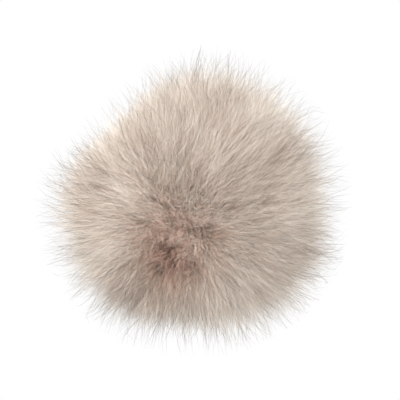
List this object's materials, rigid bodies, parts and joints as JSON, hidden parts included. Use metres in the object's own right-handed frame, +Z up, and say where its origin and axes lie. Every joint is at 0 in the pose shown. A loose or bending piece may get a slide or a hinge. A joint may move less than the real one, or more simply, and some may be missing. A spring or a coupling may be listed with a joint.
{
  "type": "furry windscreen",
  "caption": "Ball-shaped microphone windscreen: a foam-lined basket under a drawstring cover of long-pile fur, with a rubber bush and clamp nut that grip a pencil microphone.",
  "frame": {"origin": "centre of the microphone bore's mouth, on the bore's axis", "axes": "+Y along the bore, the way the microphone leaves; -Y towards the nose of the ball; +Z up; the drawcord's tails hang on the -Z side"},
  "size_m": [0.124, 0.1489, 0.124],
  "materials": {
    "fur": "matte",
    "hem_tape": "matte",
    "webbing": "matte",
    "cord": "matte",
    "lock_plastic": "satin",
    "spring_steel": "satin",
    "cage_plastic": "satin",
    "foam": "matte",
    "gauze": "matte",
    "collar_plastic": "satin",
    "screw_steel": "satin",
    "bush_rubber": "matte",
    "washer_plastic": "satin"
  },
  "bodies": {
    "base": {"fur_gore_top": "fur", "fur_gore_right": "fur", "fur_gore_bottom": "fur", "fur_gore_left": "fur", "hem": "hem_tape", "pull_tab": "webbing", "drawcord": "cord", "cord_end": "lock_plastic", "rear_cage": "cage_plastic", "rear_foam": "foam", "rear_gauze": "gauze", "collar": "collar_plastic", "collar_screws": "screw_steel", "mic_bush": "bush_rubber"},
    "front_half": {"front_cage": "cage_plastic", "front_foam": "foam", "front_gauze": "gauze"},
    "cord_lock": {"lock_body": "lock_plastic", "lock_spring": "spring_steel"},
    "plunger": {"lock_plunger": "lock_plastic"},
    "washer": {"slip_washer": "washer_plastic"},
    "nut": {"clamp_nut": "collar_plastic"}
  },
  "joints": [
    {"name": "cage_twist", "type": "hinge", "parent": "base", "child": "front_half", "pos_m": [0, -0.056, 0], "axis": [0, 1, 0], "range_deg": [0, 20]},
    {"name": "cord_lock_slide", "type": "slide", "parent": "base", "child": "cord_lock", "axis": [0, 0.766, -0.6428], "range_m": [-0.005, 0.01]},
    {"name": "plunger_press", "type": "slide", "parent": "cord_lock", "child": "plunger", "axis": [0, -0.6428, -0.766], "range_m": [0, 0.0026], "stiffness_N_per_m": 150, "springref_m": -0.003, "deforming": ["lock_spring"]},
    {"name": "washer_slide", "type": "slide", "parent": "base", "child": "washer", "axis": [0, 1, 0], "range_m": [0, 0.003]},
    {"name": "clamp_nut_turn", "type": "hinge", "parent": "washer", "child": "nut", "pos_m": [0, 0, 0], "axis": [0, 1, 0], "range_deg": [0, 720]}
  ],
  "couplings": [
    {"joint": "washer_slide", "follows": "clamp_nut_turn", "m_per_rad": 0.00023873}
  ]
}
